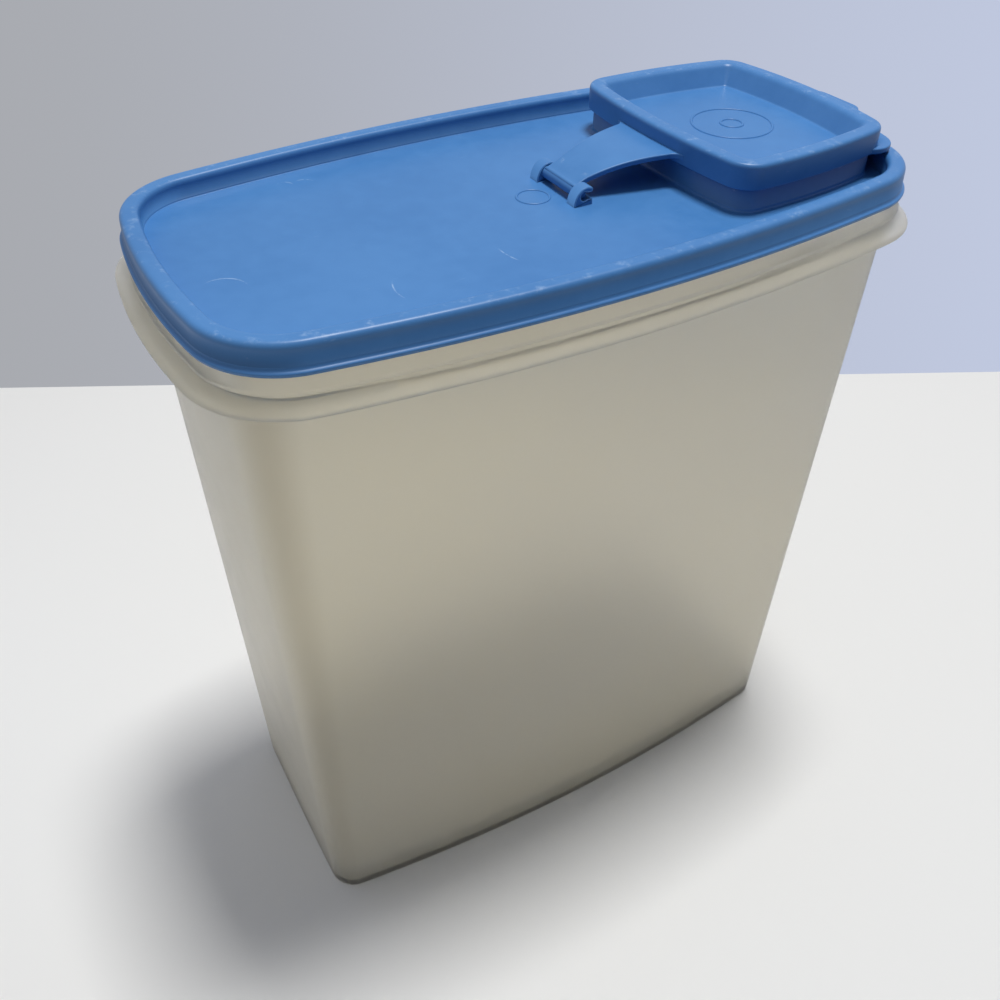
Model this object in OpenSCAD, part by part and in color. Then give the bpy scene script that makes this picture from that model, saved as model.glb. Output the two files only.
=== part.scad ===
// Cereal container with a flip spout: a tapered tub, a press-on lid with a
// spout neck, and a flip cap that swings on two trunnion pins.
// +X points to the pouring end, +Z up, origin on the ground under the tub.

/* [Tub] */
// Height of the tub from the ground to the top of its rim
tub_h = 260.7; // [200:1:300]
// Length of the rim wall, over its outer faces
rim_len = 235.2; // [212:0.2:270]
// Width of the rim wall at the middle of its long sides
rim_wid = 122; // [106:1:150]
// How far each long side of the rim bulges at its middle
rim_bow = 11; // [8:0.5:20]
// How far each end of the rim bulges at its middle
end_bow = 8.5; // [5:0.5:14]
// Corner radius of the rim wall
rim_corner = 25; // [16:1:34]
// Thickness of the rim wall, inside the channel of the lid
rim_wall = 2; // [1.6:0.1:2.6]
// How far the body under the rim stands back from the rim wall, at its ends
end_under = 1.1; // [0:0.1:4]
// How far the body under the rim stands out past the rim wall, at its sides
side_over = 2.7; // [0:0.1:3]
// Bulge of the long sides just under the rim
shoulder_bow = 15.3; // [8:0.1:20]
// Bulge of the ends just under the rim
shoulder_end_bow = 9.5; // [5:0.5:14]
// Corner radius of the body just under the rim
shoulder_corner = 22; // [16:1:30]
// Length of the body at the ground
base_len = 216.8; // [180:0.2:228]
// Width of the body at the ground
base_wid = 102; // [86:1:120]
// Bulge of the long sides at the ground
base_bow = 7.5; // [3:0.5:14]
// Bulge of the ends at the ground
base_end_bow = 0.6; // [0.3:0.1:4]
// Corner radius at the ground
base_corner = 10; // [8:0.5:16]
// Thickness of the tub wall and floor
tub_wall = 2; // [1.4:0.1:3]
// Radius between the floor and the outer wall
base_round = 2.5; // [1:0.25:4]
// Width of the foot ring that the tub stands on
foot_w = 7; // [5:0.5:12]
// Depth of the recess inside the foot ring
foot_h = 1.2; // [0.5:0.1:1.8]

/* [Skirt of the tub] */
// How far the bead of the skirt stands out past the lip of the lid
bead_out = 0.2; // [0:0.1:2]
// Depth of the bead below the lip of the lid
bead_drop = 4.3; // [3:0.1:6]
// Height of the bead
bead_h = 1.2; // [0.9:0.1:2]
// How far the bead overhangs the top of the skirt band
bead_lip = 0.5; // [0.2:0.05:0.8]
// Height of the sloping ledge between the rim wall and the bead
ledge_rise = 3.5; // [1.5:0.1:4]
// Depth of the skirt band below the bead
skirt_h = 5.6; // [4.4:0.2:10]
// How much the skirt band flares from its bead to its lower edge
skirt_flare = 4.3; // [2:0.1:6]
// Thickness of the skirt band, measured level
skirt_wall = 1.8; // [1.4:0.1:2.4]

/* [Lid] */
// Thickness of the channel walls of the lid
lid_wall = 1.4; // [1:0.1:2]
// Thickness of the sunken panel
panel_t = 1.5; // [1:0.1:2.5]
// Depth of the panel below the top of the lid rim
panel_depth = 6.7; // [4:0.1:9]
// Radius that rounds both edges of the lid rim
rim_round = 1.9; // [1:0.1:2.5]
// Height of the outer face of the lid, from its top to its lower lip
face_h = 9.1; // [8:0.1:11]
// How far the lower lip flares past the outer face of the lid rim
lip_out = 0.8; // [0.5:0.1:3]
// Height of the flared lower lip
lip_h = 2; // [1.2:0.1:3]
// Room between each face of the tub rim and the channel of the lid
rim_fit = 0.4; // [0.3:0.05:0.6]
// Room between the channel roof and the tub rim, and between cap and neck
seat_gap = 0.2; // [0.1:0.05:0.4]
// Radius of the moulded ring mark on the panel
panel_mark_r = 5.2; // [3:0.2:7]
// Distance of the ring mark from the hinge axis
panel_mark_gap = 10.4; // [9:0.2:20]

/* [Spout neck] */
// Height of the neck above the panel
neck_h = 14.2; // [11:0.2:20]
// Thickness of the neck wall
neck_wall = 1.5; // [1:0.1:2]
// Radius of the fillet round the foot of the neck
neck_foot = 2.3; // [1:0.1:2.4]

/* [Flip cap] */
// Length of the cap along the container
cap_len = 69; // [56:0.2:72]
// Width of the cap where its sides are widest apart
cap_wid = 87.8; // [64:0.2:92]
// Distance of the widest place from the hinge side of the cap
cap_peak = 16.5; // [8:0.5:24]
// Radius of the bowed sides of the cap
cap_side_r = 210; // [170:5:400]
// Radius of the bowed hinge side of the cap
cap_back_r = 270; // [200:5:500]
// Radius of the bowed pouring side of the cap
cap_front_r = 175; // [140:5:300]
// Corner radius of the cap
cap_corner = 9; // [8:0.5:16]
// Gap between the pouring side of the cap and the rim of the lid
cap_gap = 1.4; // [1.4:0.1:4]
// Thickness of the cap walls
cap_wall = 1.3; // [1:0.1:1.8]
// Thickness of the sunken cap panel
cap_panel_t = 1.3; // [1:0.1:2]
// Depth of the cap panel below the top of its rim
cap_panel_depth = 5.4; // [4:0.1:7]
// Height of the outer skirt of the cap
cap_skirt_h = 8; // [6.5:0.1:10]
// Radius that rounds both edges of the cap rim
cap_round = 1.7; // [1:0.1:2.2]
// Room between the neck and the skirt round it
cap_fit = 0.6; // [0.5:0.05:0.8]
// Room between the neck and the plug inside it, for the swing of the cap
plug_fit = 1.5; // [1.3:0.05:2]
// Radius of the large ring mark
cap_mark_r = 13.4; // [8:0.1:18]
// Radius of the small ring mark
cap_mark_in_r = 3.7; // [2:0.1:6]

/* [Pouring flange and thumb tab] */
// How far the flange stands out from the pouring side of the cap
flange_w = 6; // [3:0.2:9]
// Thickness of the flange and of the thumb tab
flange_t = 1.8; // [1.2:0.1:2.4]
// How far the thumb tab stands out past the cap
tab_out = 14.4; // [12:0.2:24]
// Width of the thumb tab
tab_wid = 24; // [16:1:34]
// Corner radius of the thumb tab
tab_corner = 6; // [3:0.5:8]

/* [Strap and hinge] */
// Distance from the hinge axis to the cap
hinge_reach = 32.3; // [24:0.1:36]
// Height of the hinge axis above the panel
hinge_h = 2.9; // [2.6:0.1:4]
// Radius of the trunnion pins
pin_r = 1.3; // [1.1:0.05:1.5]
// Radial room of a pin in its clip
pin_fit = 0.08; // [0.04:0.01:0.1]
// How far each pin ends short of the outer face of its clip
pin_short = 1.4; // [0.4:0.1:2]
// Radius of the barrel at the end of the strap
barrel_r = 2; // [1.7:0.1:2.4]
// Width of the strap at the barrel
strap_wid = 16.8; // [12:0.2:22]
// Width of the strap where it meets the cap
strap_root = 28.4; // [24:0.2:42]
// Radius of the fillets between the edges of the strap and the cap
strap_fillet = 3.5; // [1:0.1:6]
// Thickness of the strap
strap_t = 1.7; // [1.2:0.1:2.2]
// Depth of the top of the strap below the top of the cap, at its root
strap_drop = 4.8; // [3:0.1:6]
// How sharply the strap arches, as the power of its curve
strap_arch = 2.6; // [1.6:0.1:3]
// Distance from the hinge axis to the back of a clip
clip_back = 3.6; // [3:0.1:5]
// Distance from the hinge axis to the nose of a clip
clip_front = 3; // [2.6:0.1:4]
// Distance from the hinge axis to the top of a clip
clip_rise = 2.8; // [2.6:0.1:4]
// Distance from the hinge axis to the highest place of a clip
clip_crown = 0.9; // [0:0.1:1.5]
// Radius of the nose of a clip
clip_nose = 0.8; // [0.4:0.1:1]
// Width of a clip along the hinge axis
clip_wid = 4.4; // [3:0.1:6]
// Mouth of a clip, narrower than its pin
clip_mouth = 2; // [1.4:0.1:2.2]
// Side room between the strap and a clip
clip_gap = 0.3; // [0.2:0.05:0.6]

/* [Hidden] */
// facets of round features
$fn = 48;
// segments of each quarter of an outline: end, corner and long side
end_seg = 4;
corner_seg = 8;
side_seg = 5;
// size of the small rounding on edges that need no named radius
soft = 0.4;
// height and half width of the raised ring marks
mark_h = 0.35;
mark_w = 0.45;
// depth that a fused feature sinks into the wall that carries it
root = 0.5;
// radius of the curve between a sunken panel and the wall round it
panel_round = 0.9;
// places on a quarter-round edge, as shares of its radius
ROUND = [[0, 1], [0.134, 0.5], [0.5, 0.134], [1, 0]];
tub_colour = [0.85, 0.83, 0.77, 0.75];
lid_colour = [0.35, 0.55, 0.80];
cap_colour = [0.38, 0.58, 0.83];

// ---- heights, from the ground up
roof_z = tub_h + seat_gap;
lid_top = roof_z + lid_wall;
panel_z = lid_top - panel_depth;
panel_under = panel_z - panel_t;
lip_z = lid_top - face_h;
bead_z = lip_z - bead_drop;
ledge_z = bead_z + ledge_rise;
skirt_z = bead_z - skirt_h;
shoulder_z = bead_z - 2 * skirt_wall;
neck_top = panel_z + neck_h;
cap_roof = neck_top + seat_gap;
cap_top = cap_roof + cap_wall;
cap_panel_z = cap_top - cap_panel_depth;
cap_under = cap_panel_z - cap_panel_t;
cap_skirt_z = cap_top - cap_skirt_h;

// ---- insets from the outer face of the tub rim; less than 0 is outside it
channel_out = -rim_fit;
lid_face = channel_out - lid_wall;
lip_face = lid_face - lip_out;
bead_face = lip_face - bead_out;
skirt_face = bead_face - skirt_flare;
channel_in = rim_wall + rim_fit;
lid_inner = channel_in + lid_wall;

// ---- insets from the outer face of the cap
neck_out = cap_wall + cap_fit;
neck_in = neck_out + neck_wall;
plug_out = neck_in + plug_fit;
plug_in = plug_out + cap_wall;

// ---- places along the container
cap_end = rim_len / 2 - lid_inner - cap_gap;
cap_start = cap_end - cap_len;
hinge_x = cap_start - hinge_reach;
hinge_z = panel_z + hinge_h;
mark_x = cap_start + cap_len / 2;

// ==== outlines: four bowed sides that run into round corners

// Radius of an arc from its half chord and its rise
function bow_radius(half, rise) = (half * half + rise * rise) / (2 * rise);

// Where two circles cross; side picks the crossing
function meet(c1, r1, c2, r2, side) =
    let (d = norm(c2 - c1), u = (c2 - c1) / d)
    let (along = (d * d + r1 * r1 - r2 * r2) / (2 * d))
    c1 + along * u + side * sqrt(r1 * r1 - along * along) * [-u[1], u[0]];

// Outline from x0 to x1, half width w at x = peak, side radius rs,
// end radii r0 and r1, corner radius rc
function outline(x0, x1, w, peak, rs, r0, r1, rc) =
    let (cs = [peak, w - rs], c0 = [x0 + r0, 0], c1 = [x1 - r1, 0])
    [cs, rs, c0, r0, c1, r1, rc,
     meet(cs, rs - rc, c0, r0 - rc, 1), meet(cs, rs - rc, c1, r1 - rc, -1)];

// The same for an outline that is alike at both ends
function even_outline(len, wid, side_rise, end_rise, rc) =
    outline(-len / 2, len / 2, wid / 2, 0, bow_radius(len / 2, side_rise),
            bow_radius(wid / 2, end_rise), bow_radius(wid / 2, end_rise), rc);

function bearing(from, to) = atan2(to[1] - from[1], to[0] - from[0]);

function arc(c, r, a0, a1, n) =
    [for (i = [0:n - 1]) c + r * [cos(a0 + (a1 - a0) * i / n), sin(a0 + (a1 - a0) * i / n)]];

// Upper half of an outline set in by d, from the +X end to the -X end
function half_points(o, d) =
    let (cs = o[0], c0 = o[2], c1 = o[4], k0 = o[7], k1 = o[8])
    let (e1 = bearing(c1, k1), s1 = bearing(cs, k1))
    let (e0 = bearing(c0, k0), s0 = bearing(cs, k0))
    concat(arc(c1, o[5] - d, 0, e1, end_seg), arc(k1, o[6] - d, e1, s1, corner_seg),
           arc(cs, o[1] - d, s1, 90, side_seg), arc(cs, o[1] - d, 90, s0, side_seg),
           arc(k0, o[6] - d, s0, e0, corner_seg), arc(c0, o[3] - d, e0, 180, end_seg),
           [c0 - [o[3] - d, 0]]);

function points(o, d) =
    let (u = half_points(o, d), n = len(u))
    concat(u, [for (i = [n - 2:-1:1]) [u[i][0], -u[i][1]]]);

// One ring of a shell: outline, inset and height
function ring(o, d, z) = [for (p = points(o, d)) [p[0], p[1], z]];

// Rings round an edge: insets and heights step from one face to the other
function edge(o, d0, z0, dd, dz) = [for (s = ROUND) ring(o, d0 + dd * s[0], z0 + dz * s[1])];
function edge_back(o, d0, z0, dd, dz) =
    [for (i = [3:-1:0]) ring(o, d0 + dd * ROUND[i][0], z0 + dz * ROUND[i][1])];

// Closed skin over rings; a loop joins the last ring to the first
module skin(rings, loop = false) {
    n = len(rings[0]);
    m = len(rings);
    last = loop ? m - 1 : m - 2;
    sides = [for (j = [0:last], i = [0:n - 1])
        let (a = j * n + i, b = j * n + (i + 1) % n, k = (j + 1) % m)
        let (c = k * n + (i + 1) % n, d = k * n + i)
        each [[a, d, c], [a, c, b]]];
    ends = loop ? [] : [[for (i = [0:n - 1]) i], [for (i = [n - 1:-1:0]) (m - 1) * n + i]];
    polyhedron([for (r = rings) each r], concat(sides, ends));
}

rim = even_outline(rim_len, rim_wid, rim_bow, end_bow, rim_corner);
shoulder = even_outline(rim_len - 2 * end_under, rim_wid + 2 * side_over, shoulder_bow,
                        shoulder_end_bow, shoulder_corner);
base = even_outline(base_len, base_wid, base_bow, base_end_bow, base_corner);
cap_line = outline(cap_start, cap_end, cap_wid / 2, cap_start + cap_peak, cap_side_r,
                   cap_back_r, cap_front_r, cap_corner);

// ==== tub

module tub() {
    color(tub_colour)
    skin(concat(
        [ring(base, foot_w + foot_h, foot_h), ring(base, foot_w, 0)],
        edge_back(base, 0, 0, base_round, base_round),
        [ring(shoulder, 0, shoulder_z),
         ring(rim, skirt_face + skirt_wall, skirt_z),
         ring(rim, skirt_face + soft, skirt_z), ring(rim, skirt_face, skirt_z + soft),
         ring(rim, bead_face + bead_lip, bead_z - bead_h),
         ring(rim, bead_face, bead_z - bead_h + soft),
         ring(rim, bead_face, bead_z - soft),
         ring(rim, bead_face + soft, bead_z),
         ring(rim, 0, ledge_z),
         ring(rim, 0, tub_h - soft), ring(rim, soft, tub_h),
         ring(rim, rim_wall - soft, tub_h), ring(rim, rim_wall, tub_h - soft),
         ring(rim, rim_wall, ledge_z),
         ring(shoulder, tub_wall, shoulder_z - tub_wall)],
        edge(base, tub_wall, foot_h + tub_wall, base_round, base_round)));
}

// ==== lid

module lid_shell() {
    skin(concat(
        [ring(rim, channel_in + soft, panel_under), ring(rim, channel_in, panel_under + soft),
         ring(rim, channel_in, roof_z - soft), ring(rim, channel_in - soft, roof_z),
         ring(rim, channel_out + soft, roof_z), ring(rim, channel_out, roof_z - soft),
         ring(rim, channel_out, lip_z + lip_h / 2),
         ring(rim, lip_face + lid_wall, lip_z),
         ring(rim, lip_face + soft, lip_z), ring(rim, lip_face, lip_z + soft),
         ring(rim, lip_face, lip_z + lip_h / 2),
         ring(rim, lip_face + soft, lip_z + lip_h / 2 + soft),
         ring(rim, lid_face, lip_z + lip_h)],
        edge(rim, lid_face, lid_top, rim_round, -rim_round),
        edge_back(rim, lid_inner, lid_top, -rim_round, -rim_round),
        edge(rim, lid_inner, panel_z, panel_round, panel_round),
        edge_back(cap_line, neck_out, panel_z, -neck_foot, neck_foot),
        [ring(cap_line, neck_out, neck_top - soft), ring(cap_line, neck_out + soft, neck_top),
         ring(cap_line, neck_in - soft, neck_top), ring(cap_line, neck_in, neck_top - soft),
         ring(cap_line, neck_in, panel_under)]),
        loop = true);
}

// Side view of a clip: an elliptical back, a round nose, its bore on the
// hinge axis and its mouth to +X
module clip_profile() {
    half = clip_back + clip_crown;
    full = hinge_h + clip_rise;
    nose_x = clip_front - clip_nose;
    lean = acos((nose_x - clip_crown) / half);
    nose_z = full * sin(lean) - hinge_h - clip_nose;
    back = [for (i = [0:12])
        let (a = 180 + (lean - 180) * i / 12)
        [clip_crown + half * cos(a), full * sin(a) - hinge_h]];
    nose = [for (a = [75:-15:0]) [nose_x + clip_nose * cos(a), nose_z + clip_nose * sin(a)]];
    difference() {
        polygon(concat([[-clip_back, -hinge_h - root]], back, nose,
                       [[clip_front, -hinge_h - root]]));
        circle(pin_r + pin_fit);
        translate([0, -clip_mouth / 2]) square([2 * clip_front, clip_mouth]);
    }
}

module clip(side) {
    near = strap_wid / 2 + clip_gap;
    translate([hinge_x, side * (near + clip_wid / 2), hinge_z])
    rotate([90, 0, 0])
    linear_extrude(clip_wid, center = true) clip_profile();
}

// Raised ring on a level face at height z
module ring_mark(x, r, z) {
    translate([x, 0, z]) rotate_extrude($fn = 64)
    polygon([[r - mark_w, -root], [r - mark_w, 0], [r - mark_w / 2, mark_h],
             [r + mark_w / 2, mark_h], [r + mark_w, 0], [r + mark_w, -root]]);
}

module lid() {
    color(lid_colour)
    union() {
        lid_shell();
        clip(1);
        clip(-1);
        ring_mark(hinge_x - panel_mark_gap, panel_mark_r, panel_z);
    }
}

// ==== flip cap

module cap_shell() {
    skin(concat(
        [ring(cap_line, plug_out + soft, cap_under), ring(cap_line, plug_out, cap_under + soft),
         ring(cap_line, plug_out, cap_roof), ring(cap_line, cap_wall, cap_roof),
         ring(cap_line, cap_wall, cap_skirt_z + soft),
         ring(cap_line, cap_wall - soft, cap_skirt_z),
         ring(cap_line, soft, cap_skirt_z), ring(cap_line, 0, cap_skirt_z + soft)],
        edge(cap_line, 0, cap_top, cap_round, -cap_round),
        edge_back(cap_line, plug_in, cap_top, -cap_round, -cap_round),
        edge(cap_line, plug_in, cap_panel_z, panel_round, panel_round)));
}

// Flange round the pouring end: the outline pushed out, fading past the corners
module flange() {
    skirt = points(cap_line, 0);
    inside = points(cap_line, cap_wall / 2);
    beyond = points(cap_line, -1);
    n = len(skirt);
    last = end_seg + corner_seg;
    fade_x = skirt[last][0];
    turn = [for (i = [-last:last]) (i + n) % n];
    outer = [for (i = turn)
        let (t = sin(90 * (skirt[i][0] - fade_x) / (cap_end - fade_x)))
        skirt[i] + flange_w * t * (beyond[i] - skirt[i])];
    inner = [for (i = [last:-1:-last]) inside[(i + n) % n]];
    translate([0, 0, cap_skirt_z])
    linear_extrude(flange_t) polygon(concat(outer, inner));
}

module thumb_tab() {
    tip = cap_end + tab_out;
    from = cap_end - cap_wall / 2;
    translate([0, 0, cap_skirt_z])
    linear_extrude(flange_t) {
        translate([from, tab_corner - tab_wid / 2])
        square([tip - from, tab_wid - 2 * tab_corner]);
        translate([from, -tab_wid / 2])
        square([tip - tab_corner - from, tab_wid]);
        for (side = [-1, 1])
            translate([tip - tab_corner, side * (tab_wid / 2 - tab_corner)])
            circle(tab_corner);
    }
}

// Strap: an arched side view, cut to its plan. The plan is straight between
// the clips, tapers out past them and ends in fillets against the cap.
module strap() {
    reach = hinge_reach + cap_wall - soft / 2;
    clear = clip_front + clip_gap;
    rise = cap_top - strap_drop - hinge_z;
    steps = 16;
    top = [for (i = [0:steps]) [reach * i / steps, rise * (1 - pow(1 - i / steps, strap_arch))]];
    under = [for (i = [steps:-1:0])
        let (slope = rise * strap_arch / reach * pow(1 - i / steps, strap_arch - 1))
        top[i] - strap_t * [-slope, 1] / sqrt(1 + slope * slope)];
    fillet = [for (a = [0:15:90])
        [hinge_reach - strap_fillet * (1 - sin(a)), strap_root / 2 + strap_fillet * (1 - cos(a))]];
    edge = concat([[0, strap_wid / 2], [clear, strap_wid / 2]], fillet,
                  [[reach, strap_root / 2 + strap_fillet]]);
    last = len(edge) - 1;
    intersection() {
        translate([hinge_x, 0, hinge_z]) rotate([90, 0, 0])
        linear_extrude(strap_root + 3 * strap_fillet, center = true) polygon(concat(top, under));
        translate([hinge_x, 0, panel_z])
        linear_extrude(cap_top - panel_z)
        polygon(concat(edge, [for (i = [last:-1:0]) [edge[i][0], -edge[i][1]]]));
    }
}

module hinge_barrel() {
    pin_len = strap_wid + 2 * (clip_gap + clip_wid - pin_short);
    translate([hinge_x, 0, hinge_z]) rotate([90, 0, 0]) {
        cylinder(r = barrel_r, h = strap_wid, center = true);
        cylinder(r = pin_r, h = pin_len, center = true);
    }
}

module flip_cap() {
    color(cap_colour)
    union() {
        cap_shell();
        flange();
        thumb_tab();
        strap();
        hinge_barrel();
        ring_mark(mark_x, cap_mark_r, cap_panel_z);
        ring_mark(mark_x, cap_mark_in_r, cap_panel_z);
    }
}

tub();
lid();
flip_cap();
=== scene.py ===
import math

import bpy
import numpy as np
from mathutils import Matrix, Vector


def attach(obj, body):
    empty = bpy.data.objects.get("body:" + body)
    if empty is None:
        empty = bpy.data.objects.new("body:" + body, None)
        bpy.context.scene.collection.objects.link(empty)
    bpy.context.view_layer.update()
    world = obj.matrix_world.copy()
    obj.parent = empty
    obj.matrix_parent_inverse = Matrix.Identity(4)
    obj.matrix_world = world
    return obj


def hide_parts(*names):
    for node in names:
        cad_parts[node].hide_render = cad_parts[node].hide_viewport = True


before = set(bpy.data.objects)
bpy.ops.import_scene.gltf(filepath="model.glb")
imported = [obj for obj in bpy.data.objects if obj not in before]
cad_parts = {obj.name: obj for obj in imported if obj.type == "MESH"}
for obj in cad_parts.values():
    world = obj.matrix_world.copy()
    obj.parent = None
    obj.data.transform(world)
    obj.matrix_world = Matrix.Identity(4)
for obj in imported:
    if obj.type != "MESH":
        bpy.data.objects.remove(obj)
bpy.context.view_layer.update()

# Looks of the cereal container: the milky tub, the blue lid with its spout
# neck and clips, and the blue flip cap with its strap and thumb tab. Every
# surface is worked out with numpy from the sizes of the CAD part, in mm, and
# becomes a mesh in metres.

MM = 0.001

# ---- sizes of the tub, as in the CAD part
RIM_LEN, RIM_WID, RIM_BOW, END_BOW, RIM_CORNER, RIM_WALL = 235.2, 122, 11, 8.5, 25, 2
END_UNDER, SIDE_OVER, SHOULDER_BOW, SHOULDER_END_BOW, SHOULDER_CORNER = 1.1, 2.7, 15.3, 9.5, 22
BASE_LEN, BASE_WID, BASE_BOW, BASE_END_BOW, BASE_CORNER = 216.8, 102, 7.5, 0.6, 10
TUB_H, TUB_WALL, BASE_ROUND, FOOT_W, FOOT_H = 260.7, 2, 2.5, 7, 1.2
BEAD_OUT, BEAD_DROP, BEAD_H, BEAD_LIP, LEDGE_RISE = 0.2, 4.3, 1.2, 0.5, 3.5
SKIRT_H, SKIRT_FLARE, SKIRT_WALL = 5.6, 4.3, 1.8

# ---- lid
LID_WALL, PANEL_T, PANEL_DEPTH, RIM_ROUND = 1.4, 1.5, 6.7, 1.9
FACE_H, LIP_OUT, LIP_FLARE, LIP_H, RIM_FIT, SEAT_GAP, PANEL_ROUND = 9.1, 0.8, 0.7, 2, 0.4, 0.2, 0.9
NECK_H, NECK_WALL, NECK_FOOT = 14.2, 1.5, 2.3
PANEL_MARK_R, PANEL_MARK_GAP = 5.2, 10.4

# ---- flip cap, strap and hinge
CAP_LEN, CAP_WID, CAP_PEAK, CAP_CORNER, CAP_GAP = 69, 87.8, 16.5, 9, 1.4
CAP_SIDE_R, CAP_BACK_R, CAP_FRONT_R = 210, 270, 175
CAP_WALL, CAP_PANEL_T, CAP_PANEL_DEPTH, CAP_SKIRT_H, CAP_ROUND = 1.3, 1.3, 6.4, 8, 1.5
CAP_DRAFT, CAP_RIM_SLIM = 3.6, 0.9
CAP_FIT, PLUG_FIT, CAP_MARK_R, CAP_MARK_IN_R = 0.6, 1.5, 13.4, 3.7
FLANGE_W, FLANGE_T, TAB_OUT, TAB_WID, TAB_CORNER, TAB_FILLET = 6, 1.8, 14.4, 24, 6, 2.5
HINGE_REACH, HINGE_H, PIN_R, PIN_FIT, PIN_SHORT, BARREL_R = 32.3, 2.9, 1.3, 0.08, 1.4, 2
STRAP_WID, STRAP_ROOT, STRAP_FILLET, STRAP_T = 16.8, 28.4, 3.5, 1.7
STRAP_DROP, STRAP_ARCH = 4.8, 2.6
CLIP_BACK, CLIP_FRONT, CLIP_RISE, CLIP_CROWN, CLIP_NOSE = 3.6, 3, 2.8, 0.9, 0.8
CLIP_WID, CLIP_MOUTH, CLIP_GAP = 4.4, 2, 0.3
STRAP_TAIL, STRAP_SINK, STRAP_EDGE = 1.3, 0.2, 1.5

# ---- radius of the edges that have none of their own, and how far the walls
# start above the base and the flats run in before a fan closes them
EDGE, WALL_START, FLOOR_LAP, CAP_LAP = 0.5, 8, 9, 6

# ---- heights and insets that follow from them
ROOF_Z = TUB_H + SEAT_GAP
LID_TOP = ROOF_Z + LID_WALL
PANEL_Z = LID_TOP - PANEL_DEPTH
PANEL_UNDER = PANEL_Z - PANEL_T
LIP_Z = LID_TOP - FACE_H
BEAD_Z = LIP_Z - BEAD_DROP
LEDGE_Z = BEAD_Z + LEDGE_RISE
SKIRT_Z = BEAD_Z - SKIRT_H
SHOULDER_Z = BEAD_Z - 2 * SKIRT_WALL
NECK_TOP = PANEL_Z + NECK_H
CAP_ROOF = NECK_TOP + SEAT_GAP
CAP_TOP = CAP_ROOF + CAP_WALL
CAP_PANEL_Z = CAP_TOP - CAP_PANEL_DEPTH
CAP_UNDER = CAP_PANEL_Z - CAP_PANEL_T
CAP_SKIRT_Z = CAP_TOP - CAP_SKIRT_H
CHANNEL_OUT, CHANNEL_IN = -RIM_FIT, RIM_WALL + RIM_FIT
LID_FACE, LID_INNER = CHANNEL_OUT - LID_WALL, CHANNEL_IN + LID_WALL
LIP_FACE = LID_FACE - LIP_OUT
BEAD_FACE = LIP_FACE - BEAD_OUT
SKIRT_FACE = BEAD_FACE - SKIRT_FLARE
NECK_OUT = CAP_WALL + CAP_FIT
NECK_IN = NECK_OUT + NECK_WALL
PLUG_OUT = NECK_IN + PLUG_FIT
PLUG_IN = PLUG_OUT + CAP_WALL
CAP_END = RIM_LEN / 2 - LID_INNER - CAP_GAP
CAP_START = CAP_END - CAP_LEN
HINGE = np.array([CAP_START - HINGE_REACH, 0, PANEL_Z + HINGE_H])
CAP_MIDDLE = CAP_START + CAP_LEN / 2


# ==== plan outlines

def bearing(start, end):
    """Angle of the way from one plan point to another."""
    return math.atan2(end[1] - start[1], end[0] - start[0])


def crossing(c1, r1, c2, r2, side):
    """Where two circles cross: along the line of centres, then off it by the half chord."""
    c1, c2 = np.array(c1, float), np.array(c2, float)
    gap = np.linalg.norm(c2 - c1)
    u = (c2 - c1) / gap
    along = (gap ** 2 + r1 ** 2 - r2 ** 2) / (2 * gap)
    return c1 + along * u + side * math.sqrt(r1 ** 2 - along ** 2) * np.array([-u[1], u[0]])


class Outline:
    """Four bowed sides and four round corners. Each point is
    centre + (radius - inset) * (cos a, sin a) of the arc that it lies on, so
    rings run parallel to each other. Past a depth a little under the corner
    radius they shrink towards the middle instead, by (extra depth) / (half
    size - depth) along each axis, and so the corners never fold."""

    # points on half of the outline: front end, corner, side, corner, back end
    counts = (14, 18, 52, 18, 14)

    def __init__(self, x0, x1, half, peak, side_r, back_r, front_r, corner_r):
        self.depth = corner_r - 1.5
        self.middle = np.array([(x0 + x1) / 2, 0])
        self.half = np.array([(x1 - x0) / 2, half])
        side, back, front = (peak, half - side_r), (x0 + back_r, 0), (x1 - front_r, 0)
        rear = crossing(side, side_r - corner_r, back, back_r - corner_r, 1)
        fore = crossing(side, side_r - corner_r, front, front_r - corner_r, -1)
        turns = [0, bearing(front, fore), bearing(side, fore), bearing(side, rear),
                 bearing(back, rear), math.pi]
        angle = np.concatenate([np.linspace(a, b, n, endpoint=False)
                                for a, b, n in zip(turns, turns[1:], self.counts)] + [[math.pi]])
        where = np.repeat(range(5), self.counts).tolist() + [4]
        centre = np.array([front, fore, side, rear, back], float)[where]
        radius = np.array([front_r, corner_r, side_r, corner_r, back_r], float)[where]
        self.centre = np.vstack([centre, centre[-2:0:-1] * (1, -1)])
        self.radius = np.concatenate([radius, radius[-2:0:-1]])
        angle = np.concatenate([angle, -angle[-2:0:-1]])
        self.unit = np.c_[np.cos(angle), np.sin(angle)]

    def plan(self, inset):
        """Points at each inset: insets x outline x 2."""
        inset = np.atleast_1d(inset)[:, None]
        deep = np.minimum(inset, self.depth)
        ring = self.centre + (self.radius - deep)[..., None] * self.unit
        left = 1 - (inset - deep)[..., None] / (self.half - self.depth)
        return self.middle + (ring - self.middle) * left

    def rings(self, profile):
        """Rows of (inset, height) swept round the outline: rows x outline x 3."""
        inset, z = np.asarray(profile, float).T
        return lift(self.plan(inset), z)


def lift(plan, z):
    """Plan points with a height for each row."""
    return np.concatenate([plan, np.broadcast_to(z[:, None, None], plan.shape[:2] + (1,))], 2)


def even_outline(length, width, side_rise, end_rise, corner_r):
    """Outline alike at both ends; an arc of half chord h and rise e has the
    radius (h * h + e * e) / (2 * e)."""
    side_r = ((length / 2) ** 2 + side_rise ** 2) / (2 * side_rise)
    end_r = ((width / 2) ** 2 + end_rise ** 2) / (2 * end_rise)
    return Outline(-length / 2, length / 2, width / 2, 0, side_r, end_r, end_r, corner_r)


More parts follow.
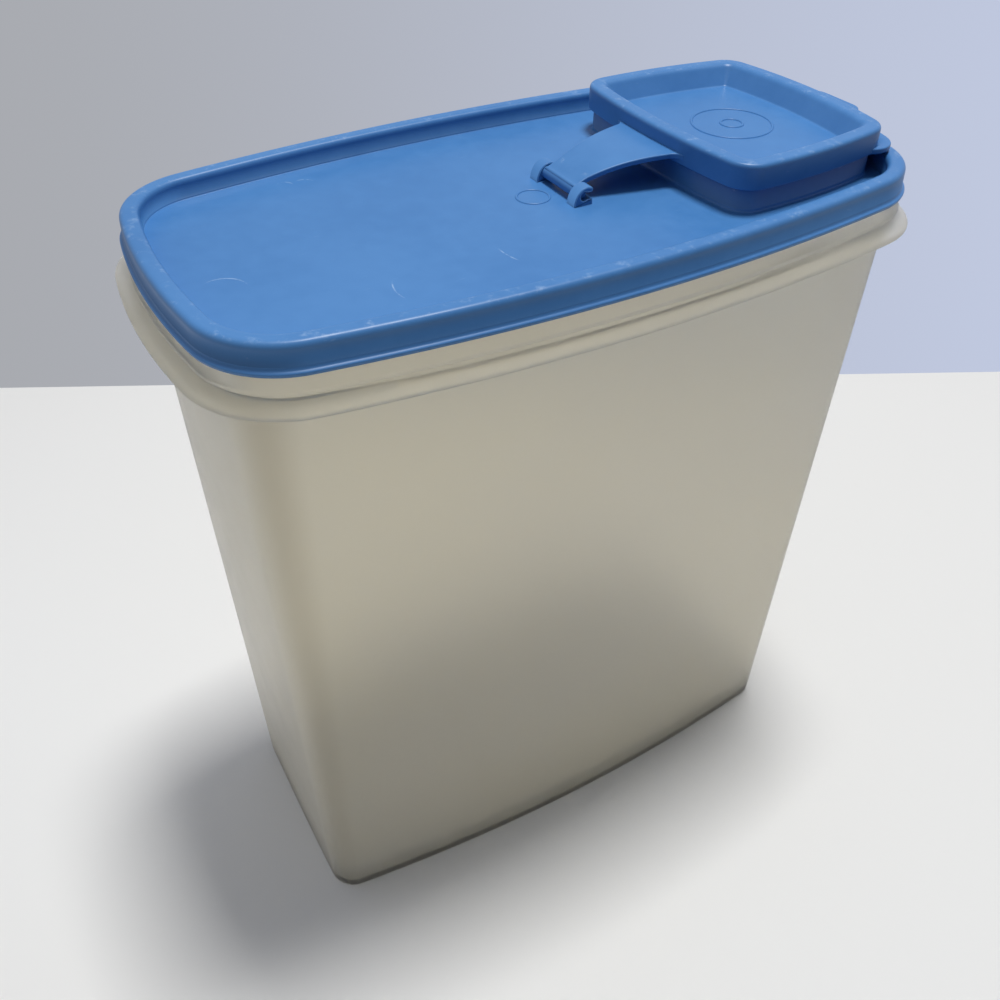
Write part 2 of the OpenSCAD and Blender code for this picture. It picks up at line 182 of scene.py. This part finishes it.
RIM = even_outline(RIM_LEN, RIM_WID, RIM_BOW, END_BOW, RIM_CORNER)
SHOULDER = even_outline(RIM_LEN - 2 * END_UNDER, RIM_WID + 2 * SIDE_OVER, SHOULDER_BOW,
                        SHOULDER_END_BOW, SHOULDER_CORNER)
BASE = even_outline(BASE_LEN, BASE_WID, BASE_BOW, BASE_END_BOW, BASE_CORNER)
CAP = Outline(CAP_START, CAP_END, CAP_WID / 2, CAP_START + CAP_PEAK, CAP_SIDE_R,
              CAP_BACK_R, CAP_FRONT_R, CAP_CORNER)


# ==== profiles and skins

def softened(corners, steps=6, lead=0.3):
    """Profile through rows of (a, b, radius) with its corners rounded: each is
    the middle control point of a quadratic Bezier that begins and ends one
    radius away, and a lead point on either side keeps the flats flat in smooth
    shading. The first and last rows stay as they are."""
    rows = np.asarray(corners, float)
    points, radius = rows[:, :2], rows[1:-1, 2]
    legs = np.diff(points, axis=0)
    size = np.linalg.norm(legs, axis=1)
    legs /= size[:, None]
    room = 0.49 * np.minimum(size[:-1], size[1:])
    reach = np.minimum(radius, room)
    far = np.minimum(reach + lead, room)
    middle, before, after = points[1:-1], -legs[:-1], legs[1:]
    s = np.linspace(0, 1, steps + 1)[:, None]
    start, end = middle + before * reach[:, None], middle + after * reach[:, None]
    curve = ((1 - s) ** 2 * start[:, None] + 2 * s * (1 - s) * middle[:, None]
             + s ** 2 * end[:, None])
    runs = np.concatenate([(middle + before * far[:, None])[:, None], curve,
                           (middle + after * far[:, None])[:, None]], 1)
    return np.vstack([points[:1], runs.reshape(-1, 2), points[-1:]])


def lattice(rows, columns, wrap_rows, wrap_columns):
    """Corner numbers of the quads of a grid, wrapped round where asked."""
    i = np.arange(rows if wrap_rows else rows - 1)[:, None]
    j = np.arange(columns if wrap_columns else columns - 1)[None, :]
    down, right = (i + 1) % rows, (j + 1) % columns
    return np.stack([i * columns + j, i * columns + right,
                     down * columns + right, down * columns + j], -1).reshape(-1, 4)


def skin(name, grid, material, wrap_rows=False, wrap_columns=True, poles=None, flat_ends=False):
    """Closed surface over a grid of points (rows x columns x 3, in mm). Poles
    are the two points that close the first and the last row with fans, and
    flat ends close them with one flat polygon each. The faces are turned so
    that the enclosed volume is positive."""
    rows, columns = grid.shape[:2]
    points = grid.reshape(-1, 3)
    quads = lattice(rows, columns, wrap_rows, wrap_columns)
    fans = np.empty((0, 3), int)
    if poles is not None:
        points = np.vstack([points, poles])
        first = np.arange(columns)
        last = first + (rows - 1) * columns
        fans = np.vstack([
            np.c_[np.roll(first, -1), first, np.full(columns, rows * columns)],
            np.c_[last, np.roll(last, -1), np.full(columns, rows * columns + 1)]])
    ends = np.empty((0, columns), int)
    if flat_ends:
        ends = np.array([np.arange(columns)[::-1], np.arange(columns) + (rows - 1) * columns])
    halves = np.vstack([quads[:, :3], quads[:, [0, 2, 3]], fans])
    a, b, c = (points - points.mean(0))[halves].transpose(1, 0, 2)
    if np.einsum("ij,ij->", a, np.cross(b, c)) < 0:
        quads, fans, ends = quads[:, ::-1], fans[:, ::-1], ends[:, ::-1]
    faces = quads.tolist() + fans.tolist() + ends.tolist()
    mesh = bpy.data.meshes.new(name)
    mesh.from_pydata((points * MM).tolist(), [], faces)
    mesh.polygons.foreach_set("use_smooth", np.arange(len(faces)) < len(faces) - len(ends))
    mesh.materials.append(material)
    piece = bpy.data.objects.new(name, mesh)
    bpy.context.scene.collection.objects.link(piece)
    return piece


def fitted(piece, node):
    """Sets a piece on the body of the CAD node that it stands for."""
    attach(piece, node)
    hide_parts(node)
    return piece


# ==== camera, as fitted to the photograph

def set_camera():
    """Camera from azimuth, elevation and roll: its back vector is
    (sin a cos e, -cos a cos e, sin e), and the roll turns its x axis towards up."""
    azimuth, elevation, roll = (math.radians(d) for d in (-30.0588, 40.5183, 0.4895))
    back = Vector((math.sin(azimuth) * math.cos(elevation),
                   -math.cos(azimuth) * math.cos(elevation), math.sin(elevation)))
    level = Vector((math.cos(azimuth), math.sin(azimuth), 0))
    across = math.cos(roll) * level + math.sin(roll) * back.cross(level)
    place = Matrix((across, back.cross(across), back)).transposed().to_4x4()
    place.translation = (-0.157456, -0.254438, 0.387496)
    camera = bpy.data.objects.new("camera", bpy.data.cameras.new("camera"))
    camera.data.lens, camera.data.sensor_width = 36.2955, 36
    camera.data.clip_start = 0.01
    camera.matrix_world = place
    bpy.context.scene.collection.objects.link(camera)
    bpy.context.scene.camera = camera


set_camera()


# ==== shader maths

class Term:
    """A value in a material's node tree. Arithmetic on it adds Math nodes."""

    def __init__(self, tree, socket=None):
        self.tree, self.socket = tree, socket

    def node(self, kind, sockets=(), out=0, stops=(), **settings):
        """Adds a node of a type: its settings, its ramp's stops, then the value
        or link of each socket."""
        made = self.tree.nodes.new("ShaderNode" + kind)
        for name, value in settings.items():
            setattr(made, name, value)
        for number, (place, shade) in enumerate(stops):
            ramp = made.color_ramp.elements
            stop = ramp[number] if number < len(ramp) else ramp.new(place)
            stop.position, stop.color = place, shade
        for name, value in dict(sockets).items():
            if isinstance(value, Term):
                self.tree.links.new(value.socket, made.inputs[name])
            else:
                made.inputs[name].default_value = value
        return Term(self.tree, made.outputs[out] if made.outputs else None)

    def math(self, operation, *values):
        """Math node of an operation on the values."""
        return self.node("Math", dict(enumerate(values)), operation=operation)

    def __add__(self, other):
        return self.math("ADD", self, other)

    def __sub__(self, other):
        return self.math("SUBTRACT", self, other)

    def __rsub__(self, other):
        return self.math("SUBTRACT", other, self)

    def __mul__(self, other):
        return self.math("MULTIPLY", self, other)

    __radd__, __rmul__ = __add__, __mul__

    def __abs__(self):
        return self.math("ABSOLUTE", self)

    def capped(self):
        """The value, or 1 where it is more."""
        return self.math("MINIMUM", self, 1.0)

    def rising(self, low, high):
        """Smooth step from 0 at low to 1 at high."""
        return self.node("MapRange", {"Value": self, "From Min": low, "From Max": high},
                         interpolation_type="SMOOTHSTEP")

    def mix(self, low, high):
        """Colour between low and high by this value."""
        return self.node("Mix", {0: self, 6: low, 7: high}, out=2, data_type="RGBA")


def colour(red, green, blue):
    """Linear colour from the 0 to 255 levels of a screen."""
    level = np.array([red, green, blue]) / 255
    return (*np.where(level < 0.04045, level / 12.92, ((level + 0.055) / 1.055) ** 2.4), 1)


def new_material(name):
    """Material with an empty tree, and the object's coordinates in mm."""
    material = bpy.data.materials.new(name)
    material.use_nodes = True
    material.node_tree.nodes.clear()
    start = Term(material.node_tree)
    spot = start.node("TexCoord", out=3)
    spot = spot.node("VectorMath", {0: spot, "Scale": 1 / MM}, operation="SCALE")
    axes = [spot.node("SeparateXYZ", {0: spot}, out=n) for n in range(3)]
    return material, spot, axes


def noise(spot, scale, detail=2, rough=0.5, stretch=None):
    """Noise of a scale per mm, centred on 0.5."""
    if stretch:
        spot = spot.node("VectorMath", {0: spot, 1: stretch}, operation="MULTIPLY")
    return spot.node("TexNoise", {"Vector": spot, "Scale": scale, "Detail": detail,
                                  "Roughness": rough})


def surface(start, bump, through=None, **sockets):
    """Principled surface; bumps are rows of (height, depth in mm). Where light
    gets through, a share of the surface is a translucent shader of a colour."""
    normal = None
    for height, depth in bump:
        inputs = {"Height": height, "Distance": depth * MM, "Strength": 1}
        if normal:
            inputs["Normal"] = normal
        normal = start.node("Bump", inputs)
    sockets = {name.replace("_", " "): value for name, value in sockets.items()}
    shader = start.node("BsdfPrincipled", {**sockets, "Normal": normal})
    if through:
        share, tint = through
        passing = start.node("BsdfTranslucent", {"Color": tint, "Normal": normal})
        shader = start.node("MixShader", {0: share, 1: shader, 2: passing})
    start.node("OutputMaterial", {"Surface": shader})


def square(value):
    """A value times itself."""
    return value * value


# Scuffs on the lid's panel: the middle and radius of each arc, the place on it
# that shows and how far from there it fades out, all in mm
SCUFFS = [(-102, -11, 7, -98.6, -5.2, 7), (-49, -34, 13, -62.1, -32.4, 6),
          (-64, 45, 3, -62.6, 47.8, 3.4), (-58, 43, 4, -56.6, 45.8, 3),
          (-4, -26, 22, -25.4, -29.6, 5), (-92, -16, 24, -104.2, -37, 6)]


def scuff_mask(spot, axes):
    """Sum of fine arcs: each is 1 on its circle, falls to 0 at half its width,
    and fades along its length from the place that shows."""
    x, y, _ = axes
    broken = noise(spot, 0.45, 2).rising(0.34, 0.6)
    total = None
    for cx, cy, r, px, py, length in SCUFFS:
        away = square(x - cx) + square(y - cy)
        line = abs(away.math("SQRT", away) - r).rising(0.3, 0.02)
        run = (square(x - px) + square(y - py)).rising(length ** 2, 0)
        mark = line * run
        total = mark if total is None else total + mark
    return total * broken


def blue_plastic():
    """Satin blue moulding: slow shifts of tone, fine mottle, pale scuffs and
    specks, and edges worn pale."""
    material, spot, axes = new_material("blue_plastic")
    z = axes[2]
    slow, mottle = noise(spot, 0.012, 2), noise(spot, 0.16, 4, 0.6)
    tone = (slow * 0.7 + mottle * 0.3).rising(0.3, 0.7).mix(colour(62, 117, 175),
                                                           colour(74, 128, 185))
    scuffs = scuff_mask(spot, axes) * z.rising(PANEL_Z + 1, PANEL_Z + 0.3)
    grain = noise(spot, 0.55, 5, 0.7)
    worn_edge = (z.rising(LID_TOP - 0.9, LID_TOP - 0.1) * (1 - z.rising(LID_TOP, LID_TOP + 0.5))
                 + z.rising(CAP_TOP - 0.8, CAP_TOP - 0.1))
    wear = worn_edge * noise(spot, 0.3, 6, 0.7).rising(0.52, 0.74)
    hairs = noise(spot, 0.5, 4, 0.6, (0.25, 1.6, 1)).rising(0.66, 0.74) * slow.rising(0.4, 0.6)
    pale = (scuffs * 0.55 + wear * 0.3 + hairs * 0.1).capped()
    surface(spot, [(noise(spot, 0.03, 1), 0.5), (grain, 0.012)],
            Base_Color=pale.mix(tone, colour(176, 200, 226)),
            Roughness=0.3 + 0.16 * mottle + 0.1 * pale,
            IOR=1.42)
    return material


def milky_plastic():
    """Milky polyethylene: much of the light that meets it passes on into the
    tub and out again, its tone drifts a little, painted shade darkens its
    colour at the upright corners below the skirt, and it has fine grain."""
    material, spot, axes = new_material("milky_plastic")
    slow, mottle = noise(spot, 0.008, 2), noise(spot, 0.12, 4, 0.6)
    drift = (slow * 0.75 + mottle * 0.25).rising(0.3, 0.7)
    x, y, z = axes
    # painted shade: the base colour turns darker at the tub's upright corners below the skirt,
    # standing in for the dark band that light through the corners shows
    corner = abs(x).rising(97, 109) * abs(y).rising(36, 50) * z.rising(SKIRT_Z + 1, SKIRT_Z - 3)
    tone = corner.mix(drift.mix(colour(250, 246, 235), colour(253, 248, 233)),
                      colour(222, 215, 197))
    passed = drift.mix(colour(252, 249, 238), colour(254, 250, 236))
    grain = noise(spot, 0.7, 5, 0.65)
    surface(spot, [(noise(spot, 0.02, 1), 0.6), (grain, 0.014)],
            through=(0.1, passed),
            Base_Color=tone,
            Roughness=0.3 + 0.08 * mottle,
            IOR=1.35,
            Transmission_Weight=0.86)
    return material


BLUE, MILKY = blue_plastic(), milky_plastic()


# ==== the tub

def tub_moulding():
    """Tub: its outline at height z is the base outline plus a share of the way
    to the shoulder outline, (z - round) / (shoulder z - round), for the outer
    and the inner wall alike; the collar above is swept round the rim outline."""
    lean = SHOULDER.plan(0)[0] - BASE.plan(0)[0]

    def wall(profile):
        """Rows of (inset, height) laid on the leaning wall."""
        profile = np.asarray(profile, float)
        share = np.clip((profile[:, 1] - BASE_ROUND) / (SHOULDER_Z - BASE_ROUND), 0, 1)
        return lift(BASE.plan(profile[:, 0]) + share[:, None, None] * lean, profile[:, 1])

    heights = np.linspace(WALL_START, SHOULDER_Z - 3, 30)
    outside = softened([(FOOT_W + FLOOR_LAP, FOOT_H, 0), (FOOT_W + FOOT_H, FOOT_H, 0.4),
                        (FOOT_W, 0, 0.4), (0, 0, BASE_ROUND), (0, WALL_START - 1, 0)])
    collar = softened([
        (-0.9, SHOULDER_Z - 0.3, 0), (SKIRT_FACE + SKIRT_WALL, SKIRT_Z, EDGE),
        (SKIRT_FACE, SKIRT_Z, EDGE), (BEAD_FACE + BEAD_LIP, BEAD_Z - BEAD_H, 0.25),
        (BEAD_FACE, BEAD_Z - BEAD_H + 0.25, 0.3), (BEAD_FACE, BEAD_Z, 0.45),
        (0, LEDGE_Z, 0.8), (0, TUB_H, EDGE), (RIM_WALL, TUB_H, EDGE), (RIM_WALL, LEDGE_Z, 0)])
    inner_floor = FOOT_H + TUB_WALL
    inside = softened([(TUB_WALL, WALL_START, 0), (TUB_WALL, inner_floor, BASE_ROUND),
                       (TUB_WALL + FLOOR_LAP, inner_floor, 0)])
    straight = np.c_[np.zeros_like(heights), heights]
    grid = np.concatenate([
        wall(outside), wall(straight), SHOULDER.rings([(0, SHOULDER_Z)]), RIM.rings(collar),
        SHOULDER.rings([(TUB_WALL, SHOULDER_Z - TUB_WALL)]),
        wall(straight[::-1] + (TUB_WALL, 0))[1:], wall(inside)])
    return skin("tub_moulding", grid, MILKY, poles=[(0, 0, FOOT_H), (0, 0, inner_floor)])


fitted(tub_moulding(), "tub")


# ==== the lid

def lid_moulding():
    """Lid: a channel profile swept round the rim outline runs on into the
    profile of the spout neck swept round the cap outline, and back below."""
    ridge, ridge_z = LIP_FACE - LIP_FLARE, LIP_Z + 0.62 * LIP_H
    edge = softened([
        (CHANNEL_IN + 1.2, PANEL_UNDER, 0), (CHANNEL_IN, PANEL_UNDER, EDGE),
        (CHANNEL_IN, ROOF_Z, EDGE), (CHANNEL_OUT, ROOF_Z, EDGE),
        (CHANNEL_OUT, LIP_Z + LIP_H / 2, EDGE), (LIP_FACE + LID_WALL, LIP_Z, 0.4),
        (ridge + 0.5, LIP_Z, 0.4), (ridge, ridge_z, EDGE),
        (LID_FACE - 0.3, LIP_Z + LIP_H, 0.8), (LID_FACE, LID_TOP, RIM_ROUND),
        (LID_INNER, LID_TOP, RIM_ROUND), (LID_INNER, PANEL_Z, PANEL_ROUND),
        (LID_INNER + PANEL_ROUND + 0.15, PANEL_Z, 0)], lead=0.12)
    neck = softened([
        (NECK_OUT - NECK_FOOT - 0.1, PANEL_Z, 0), (NECK_OUT, PANEL_Z, NECK_FOOT),
        (NECK_OUT, NECK_TOP, 0.4), (NECK_IN, NECK_TOP, 0.4),
        (NECK_IN, PANEL_UNDER, EDGE), (NECK_IN - 1, PANEL_UNDER, 0)], lead=0.12)
    grid = np.concatenate([RIM.rings(edge), CAP.rings(neck)])
    return skin("lid_moulding", grid, BLUE, wrap_rows=True)


def ring_mark(name, x, radius, z):
    """Raised ring: a low bump of half width w and height h,
    (r + w sin b, h cos b), turned about an upright axis, on a sunk foot."""
    width, height, foot = 0.45, 0.32, 0.4
    b = np.linspace(-math.pi / 2, math.pi / 2, 11)
    section = np.vstack([np.c_[width * np.sin(b), height * np.cos(b)],
                         [[width, -foot], [-width, -foot]]])
    a = np.linspace(0, 2 * math.pi, 96, endpoint=False)[:, None]
    reach = radius + section[:, 0]
    grid = np.stack([x + reach * np.cos(a), reach * np.sin(a),
                     z + section[:, 1] + 0 * a], -1)
    return skin(name, grid, BLUE, wrap_rows=True)


def clip(name, side):
    """Hinge clip: its side view runs up an elliptical back, round the nose, in
    through the mouth, round the bore and out to the foot; it is swept across
    the hinge with its end faces rounded by moving each point in along the
    normal of the side view."""
    half, full = CLIP_BACK + CLIP_CROWN, HINGE_H + CLIP_RISE
    nose_x = CLIP_FRONT - CLIP_NOSE
    lean = math.acos((nose_x - CLIP_CROWN) / half)
    nose_z = full * math.sin(lean) - HINGE_H - CLIP_NOSE
    bore = PIN_R + PIN_FIT
    gape = math.asin(CLIP_MOUTH / 2 / bore)
    up = np.linspace(math.pi, lean, 40)
    over = np.linspace(lean, -0.4, 12)
    round_bore = np.linspace(gape, 2 * math.pi - gape, 40)
    foot = -HINGE_H - 0.4
    view = np.vstack([
        [[-CLIP_BACK, foot]],
        np.c_[CLIP_CROWN + half * np.cos(up), full * np.sin(up) - HINGE_H],
        np.c_[nose_x + CLIP_NOSE * np.cos(over), nose_z + CLIP_NOSE * np.sin(over)],
        [[CLIP_FRONT - 0.25, CLIP_MOUTH / 2 + 0.12], [CLIP_FRONT - 0.6, CLIP_MOUTH / 2]],
        np.c_[bore * np.cos(round_bore), bore * np.sin(round_bore)],
        [[CLIP_FRONT - 0.3, -CLIP_MOUTH / 2], [CLIP_FRONT, -CLIP_MOUTH / 2 - 0.3],
         [CLIP_FRONT, foot]]])
    ahead = np.roll(view, -1, 0) - np.roll(view, 1, 0)
    inward = np.c_[ahead[:, 1], -ahead[:, 0]] / np.linalg.norm(ahead, axis=1)[:, None]
    half_w = CLIP_WID / 2
    section = softened([(0.5, -half_w, 0), (0, -half_w, 0.28), (0, half_w, 0.28),
                        (0.5, half_w, 0)], steps=4, lead=0.1)
    flat = view + section[:, :1, None] * inward
    middle = side * (STRAP_WID / 2 + CLIP_GAP + half_w)
    grid = np.stack([HINGE[0] + flat[..., 0],
                     np.broadcast_to(middle + section[:, 1:], flat.shape[:2]),
                     HINGE[2] + flat[..., 1]], -1)
    return skin(name, grid, BLUE, flat_ends=True)


for lid_piece in (lid_moulding(), clip("clip_left", 1), clip("clip_right", -1),
                  ring_mark("lid_ring", HINGE[0] - PANEL_MARK_GAP, PANEL_MARK_R, PANEL_Z)):
    fitted(lid_piece, "lid")


# ==== the flip cap

def cap_moulding():
    """Cap: plug, roof, skirt, rim and sunken panel in one profile swept round
    the cap outline, closed by a fan below and above."""
    profile = softened([
        (PLUG_OUT + CAP_LAP, CAP_UNDER, 0), (PLUG_OUT + CAP_DRAFT - 1, CAP_UNDER, EDGE),
        (PLUG_OUT, CAP_ROOF, EDGE),
        (CAP_WALL, CAP_ROOF, EDGE), (CAP_WALL, CAP_SKIRT_Z, 0.3), (0, CAP_SKIRT_Z, 0.45),
        (0, CAP_TOP, CAP_ROUND), (PLUG_IN - CAP_RIM_SLIM, CAP_TOP, CAP_ROUND),
        (PLUG_IN + CAP_DRAFT, CAP_PANEL_Z, EDGE), (PLUG_IN + CAP_LAP, CAP_PANEL_Z, 0)])
    return skin("cap_moulding", CAP.rings(profile), BLUE,
                poles=[(CAP_MIDDLE, 0, CAP_UNDER), (CAP_MIDDLE, 0, CAP_PANEL_Z)])


def bend(before, corner, after, radius, steps=12):
    """Quadratic Bezier round a plan corner, one radius away on either side."""
    before, corner, after = (np.array(p, float) for p in (before, corner, after))
    start = corner + radius * (before - corner) / np.linalg.norm(before - corner)
    end = corner + radius * (after - corner) / np.linalg.norm(after - corner)
    s = np.linspace(0, 1, steps + 1)[:, None]
    return (1 - s) ** 2 * start + 2 * s * (1 - s) * corner + s ** 2 * end


def flange_and_tab():
    """Flange and thumb tab in one plate. Its outer edge is the cap outline
    pushed out by width * sin(90 deg * share of the way past the corner), with
    the tab let in by fillets; its inner edge lies inside the skirt."""
    n = len(CAP.radius)
    last = CAP.counts[0] + CAP.counts[1]
    turn = np.arange(-last, last + 1) % n
    skirt, unit = CAP.plan(0)[0][turn], CAP.unit[turn]
    share = (skirt[:, 0] - skirt[0, 0]) / (CAP_END - skirt[0, 0])
    outer = skirt + (FLANGE_W * np.sin(math.pi / 2 * share))[:, None] * unit
    inner = skirt - (CAP_WALL / 2) * unit
    half = TAB_WID / 2
    tip = CAP_END + TAB_OUT
    low, high = outer[:, 1] < -half - TAB_FILLET, outer[:, 1] > half + TAB_FILLET
    edge_x = np.interp(half, outer[:, 1], outer[:, 0])
    root = [(edge_x, -half), (edge_x, half)]
    past = [outer[low][-1], outer[high][0]]
    outline = np.vstack([
        outer[low], bend(past[0], root[0], (tip, -half), TAB_FILLET),
        bend(root[0], (tip, -half), (tip, 0), TAB_CORNER),
        bend((tip, 0), (tip, half), root[1], TAB_CORNER),
        bend((tip, half), root[1], past[1], TAB_FILLET), outer[high]])
    hold_y = np.clip(outline[:, 1], -half, half)
    hold = np.c_[np.interp(hold_y, inner[:, 1], inner[:, 0]), hold_y]
    count = [low.sum(), high.sum()]
    hold[:count[0]], hold[-count[1]:] = inner[low], inner[high]
    ahead = np.gradient(outline, axis=0)
    inward = np.c_[-ahead[:, 1], ahead[:, 0]] / np.linalg.norm(ahead, axis=1)[:, None]
    top, under = CAP_SKIRT_Z + FLANGE_T, CAP_SKIRT_Z
    section = softened([(1.2, top, 0), (0, top, EDGE), (0, under, EDGE), (1.2, under, 0)],
                       lead=0.15)
    rows = outline + section[:, :1, None] * inward
    grid = np.concatenate([lift(hold[None], np.array([top])), lift(rows, section[:, 1]),
                           lift(hold[None], np.array([under]))])
    return skin("flange_and_tab", grid, BLUE, wrap_rows=True, wrap_columns=False)


def strap():
    """Strap: its top starts over the barrel and climbs as
    start + (rise - start) * (1 - (1 - s) ** arch). Its half width is straight
    between the clips, tapers out past them and flares by a quarter circle that
    ends at the bowed face of the cap. The section is a round-edged slab square
    to the climb."""
    reach = HINGE_REACH + CAP_WALL - STRAP_SINK
    clear = CLIP_FRONT + CLIP_GAP
    start, rise = BARREL_R, CAP_TOP - STRAP_DROP - HINGE[2]
    face = HINGE_REACH + (STRAP_ROOT / 2 + STRAP_FILLET) ** 2 / (2 * CAP_BACK_R)
    x = np.unique(np.concatenate([np.linspace(-STRAP_TAIL, reach, 40),
                                  np.linspace(face - STRAP_FILLET, face, 16)]))
    left = np.clip(1 - x / reach, 0, 1)
    top = start + (rise - start) * (1 - left ** STRAP_ARCH)
    slope = np.where(x > 0, (rise - start) * STRAP_ARCH / reach * left ** (STRAP_ARCH - 1), 0)
    taper = np.clip((x - clear) / (face - STRAP_FILLET - clear), 0, 1)
    into = np.clip(x - (face - STRAP_FILLET), 0, STRAP_FILLET)
    half = ((STRAP_WID + (STRAP_ROOT - STRAP_WID) * taper) / 2
            + STRAP_FILLET - np.sqrt(STRAP_FILLET ** 2 - into ** 2))
    corner = softened([(0, 0, 0), (STRAP_EDGE, 0, EDGE), (STRAP_EDGE, -STRAP_T, EDGE),
                       (0, -STRAP_T, 0)], lead=0.12)
    out = np.concatenate([corner[:, 0] - STRAP_EDGE, STRAP_EDGE - corner[::-1, 0]])
    side = np.concatenate([np.ones(len(corner)), -np.ones(len(corner))])
    deep = np.concatenate([corner[:, 1], corner[::-1, 1]])
    tilt = np.sqrt(1 + slope ** 2)
    grid = np.stack([
        HINGE[0] + x[:, None] - (slope / tilt)[:, None] * deep,
        side * half[:, None] + out,
        HINGE[2] + top[:, None] + deep / tilt[:, None]], -1)
    ends = grid[[0, -1]].mean(1)
    return skin("strap", grid, BLUE, poles=ends)


def hinge_barrel():
    """Barrel and trunnion pins: a stepped profile turned about the hinge axis."""
    pin_end = STRAP_WID / 2 + CLIP_GAP + CLIP_WID - PIN_SHORT
    half = STRAP_WID / 2
    side = softened([(-pin_end, 0.6, 0), (-pin_end, PIN_R, 0.25), (-half, PIN_R, 0.1),
                     (-half, BARREL_R, 0.25), (half, BARREL_R, 0.25), (half, PIN_R, 0.1),
                     (pin_end, PIN_R, 0.25), (pin_end, 0.6, 0)], lead=0.1)
    a = np.linspace(0, 2 * math.pi, 56, endpoint=False)
    grid = np.stack([HINGE[0] + side[:, 1:] * np.cos(a),
                     np.broadcast_to(side[:, :1], (len(side), len(a))),
                     HINGE[2] + side[:, 1:] * np.sin(a)], -1)
    return skin("hinge_barrel", grid, BLUE,
                poles=[(HINGE[0], -pin_end, HINGE[2]), (HINGE[0], pin_end, HINGE[2])])


for cap_piece in (cap_moulding(), flange_and_tab(), strap(), hinge_barrel(),
                  ring_mark("cap_ring", CAP_MIDDLE, CAP_MARK_R, CAP_PANEL_Z),
                  ring_mark("cap_ring_small", CAP_MIDDLE, CAP_MARK_IN_R, CAP_PANEL_Z)):
    fitted(cap_piece, "flip_cap")


# ==== floor, backdrop and light

# A point, in mm, and the direction of the line at which the floor ends
FLOOR_END, FLOOR_LINE = np.array([-66, 352]), np.array([0.8868, -0.4621])


def make_floor():
    """Pale floor that ends at a line behind the container; the world shows past it."""
    material, spot, _ = new_material("floor")
    tone = noise(spot, 0.002, 2).mix(colour(236, 234, 228), colour(240, 240, 238))
    shader = spot.node("BsdfPrincipled", {"Base Color": tone, "Roughness": 0.7,
                                          "Specular IOR Level": 0.2})
    spot.node("OutputMaterial", {"Surface": shader})
    reach = 6000
    along, near = reach * FLOOR_LINE, reach * np.array([FLOOR_LINE[1], -FLOOR_LINE[0]])
    corners = [FLOOR_END - along, FLOOR_END + along,
               FLOOR_END + along + near, FLOOR_END - along + near]
    mesh = bpy.data.meshes.new("floor")
    mesh.from_pydata([(x * MM, y * MM, 0) for x, y in corners], [], [(0, 3, 2, 1)])
    mesh.materials.append(material)
    floor = bpy.data.objects.new("floor", mesh)
    bpy.context.scene.collection.objects.link(floor)


def make_world():
    """Pale backdrop for what sees it, and dimmer room light that comes from
    above and behind the container and leaves its front in the dark."""
    world = bpy.data.worlds.new("world")
    world.use_nodes = True
    world.node_tree.nodes.clear()
    start = Term(world.node_tree)
    ray = [start.node("LightPath", out=n) for n in ("Is Camera Ray", "Is Glossy Ray",
                                                    "Is Transmission Ray")]
    seen = (ray[0] + ray[1] + ray[2]).capped()
    way = start.node("TexCoord", out=0)
    x, y, z = (way.node("SeparateXYZ", {0: way}, out=n) for n in range(3))
    across = (x * FLOOR_LINE[0] + y * FLOOR_LINE[1]).rising(-0.5, 0.7)
    backdrop = across.mix(colour(168, 170, 175), colour(194, 203, 227))
    room = (y * 0.8 + z * 0.9 - x * 0.4).rising(-0.1, 0.7)
    sky = room.mix(colour(40, 42, 46), colour(168, 171, 180))
    shader = start.node("Background", {"Color": seen.mix(sky, backdrop), "Strength": 1})
    start.node("OutputWorld", {"Surface": shader})
    bpy.context.scene.world = world


def area_light(name, place, target, size, power):
    """Square lamp of a size in metres and a power in watts, turned to its target."""
    light = bpy.data.lights.new(name, "AREA")
    light.shape, light.size, light.energy = "SQUARE", size, power
    lamp = bpy.data.objects.new(name, light)
    lamp.location = place
    lamp.rotation_euler = (Vector(target) - Vector(place)).to_track_quat("-Z", "Y").to_euler()
    bpy.context.scene.collection.objects.link(lamp)


make_floor()
make_world()
area_light("key", (0.2, 0.035, 1.7), (0, 0, 0.15), 0.34, 20)

bpy.context.scene.view_settings.view_transform = "Standard"
